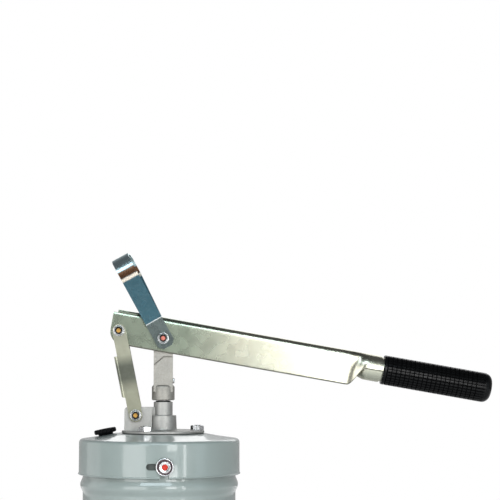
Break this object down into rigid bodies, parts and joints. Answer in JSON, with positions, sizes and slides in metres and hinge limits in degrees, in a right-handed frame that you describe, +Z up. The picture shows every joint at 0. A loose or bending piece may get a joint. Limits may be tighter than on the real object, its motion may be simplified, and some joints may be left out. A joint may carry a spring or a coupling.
{
  "type": "fluid transfer pump",
  "caption": "Hand-lever transfer pump on a round steel fluid container, with a clamped lid, filler plug and folding carrying strap.",
  "frame": {"origin": "centre of the container base, on the surface it stands on", "axes": "+Z up along the container axis, +X towards the lever grip, -Y towards the front clamp screw"},
  "size_m": [0.4636, 0.1862, 0.56],
  "materials": {
    "grey_green_paint": "glossy grey-green paint with light orange peel",
    "cast_metal": "as-cast warm grey metal, lightly machined",
    "yellow_zinc_steel": "zinc plated sheet steel with a pale yellow tint",
    "blue_zinc_steel": "zinc plated strip with a blue tint",
    "bright_zinc": "bright zinc plated fasteners",
    "plain_steel": "drawn steel, lightly oiled",
    "ball_steel": "polished bearing steel",
    "brass": "turned brass",
    "black_rubber": "black nitrile rubber",
    "black_grip": "ribbed black vinyl grip",
    "black_plastic": "moulded black plastic"
  },
  "bodies": {
    "container": {"container_shell": "grey_green_paint", "container_base": "grey_green_paint", "weld_nut_1": "bright_zinc", "weld_nut_2": "bright_zinc", "weld_nut_3": "bright_zinc"},
    "gasket": {"lid_gasket": "black_rubber"},
    "lid": {"lid": "grey_green_paint", "pump_head": "cast_metal", "head_gasket": "black_rubber", "head_bolt_1": "bright_zinc", "head_bolt_2": "bright_zinc", "head_bolt_3": "bright_zinc", "head_nut_1": "bright_zinc", "head_nut_2": "bright_zinc", "head_nut_3": "bright_zinc", "outlet_fitting": "brass", "rod_wiper": "black_rubber", "gland_packing": "black_rubber", "pump_tube": "plain_steel", "foot_valve_body": "brass", "foot_valve_pin": "plain_steel", "suction_strainer": "plain_steel"},
    "clamp_screw_a": {"clamp_screw_1": "bright_zinc"},
    "clamp_screw_b": {"clamp_screw_2": "bright_zinc"},
    "clamp_screw_c": {"clamp_screw_3": "bright_zinc"},
    "plug": {"filler_plug": "black_plastic"},
    "link": {"link_arm": "yellow_zinc_steel", "lower_link_bolt": "bright_zinc", "lower_link_nut": "bright_zinc", "lower_link_washer_front": "bright_zinc", "lower_link_washer_rear": "bright_zinc"},
    "lever": {"lever": "yellow_zinc_steel", "grip": "black_grip", "upper_link_bolt": "bright_zinc", "upper_link_nut": "bright_zinc", "upper_link_washer_front": "bright_zinc", "upper_link_washer_rear": "bright_zinc", "rod_pin_bolt": "bright_zinc", "rod_pin_nut": "bright_zinc", "rod_pin_washer_front": "bright_zinc", "rod_pin_washer_rear": "bright_zinc"},
    "strap": {"carry_strap": "blue_zinc_steel"},
    "rod": {"rod_head": "cast_metal", "rod_head_set_screw": "bright_zinc", "piston_rod": "plain_steel", "piston": "brass", "piston_seal": "black_rubber"},
    "foot_ball": {"foot_valve_ball": "ball_steel"},
    "rod_ball": {"piston_ball": "ball_steel"}
  },
  "joints": [
    {"name": "lid_lift", "type": "slide", "parent": "container", "child": "gasket", "axis": [0, 0, 1], "range_m": [0, 0.36]},
    {"name": "lid_turn", "type": "hinge", "parent": "gasket", "child": "lid", "pos_m": [0, 0, 0.35], "axis": [0, 0, 1], "range_deg": [0, 10.3]},
    {"name": "link_swing", "type": "hinge", "parent": "lid", "child": "link", "pos_m": [-0.0263, 0, 0.3792], "axis": [0, 1, 0], "range_deg": [0, 4]},
    {"name": "lever_pump", "type": "hinge", "parent": "link", "child": "lever", "pos_m": [-0.0453, 0, 0.4729], "axis": [0, -1, 0], "range_deg": [0, 50]},
    {"name": "strap_fold", "type": "hinge", "parent": "lever", "child": "strap", "pos_m": [0.004, 0, 0.4644], "axis": [0, 1, 0], "range_deg": [-30, 108]},
    {"name": "rod_lift", "type": "slide", "parent": "lid", "child": "rod", "axis": [0, 0, 1], "range_m": [0, 0.041]},
    {"name": "plug_pull", "type": "slide", "parent": "lid", "child": "plug", "axis": [-0.1908, 0, 0.9816], "range_m": [0, 0.03]},
    {"name": "foot_ball_lift", "type": "slide", "parent": "lid", "child": "foot_ball", "axis": [0, 0, 1], "range_m": [0, 0.004]},
    {"name": "rod_ball_lift", "type": "slide", "parent": "rod", "child": "rod_ball", "axis": [0, 0, 1], "range_m": [0, 0.004]},
    {"name": "clamp_screw_a_turn", "type": "hinge", "parent": "container", "child": "clamp_screw_a", "pos_m": [0.0071, -0.09022, 0.3266], "axis": [0.0785, -0.9969, 0], "range_deg": [0, 360]},
    {"name": "clamp_screw_b_turn", "type": "hinge", "parent": "container", "child": "clamp_screw_b", "pos_m": [0.07458, 0.05126, 0.3266], "axis": [0.8241, 0.5664, 0], "range_deg": [0, 360]},
    {"name": "clamp_screw_c_turn", "type": "hinge", "parent": "container", "child": "clamp_screw_c", "pos_m": [-0.08168, 0.03896, 0.3266], "axis": [-0.9026, 0.4305, 0], "range_deg": [0, 360]}
  ],
  "couplings": [
    {"joint": "link_swing", "follows": "lever_pump", "ratio": 0.0775},
    {"joint": "rod_lift", "follows": "lever_pump", "m_per_rad": 0.0458}
  ]
}
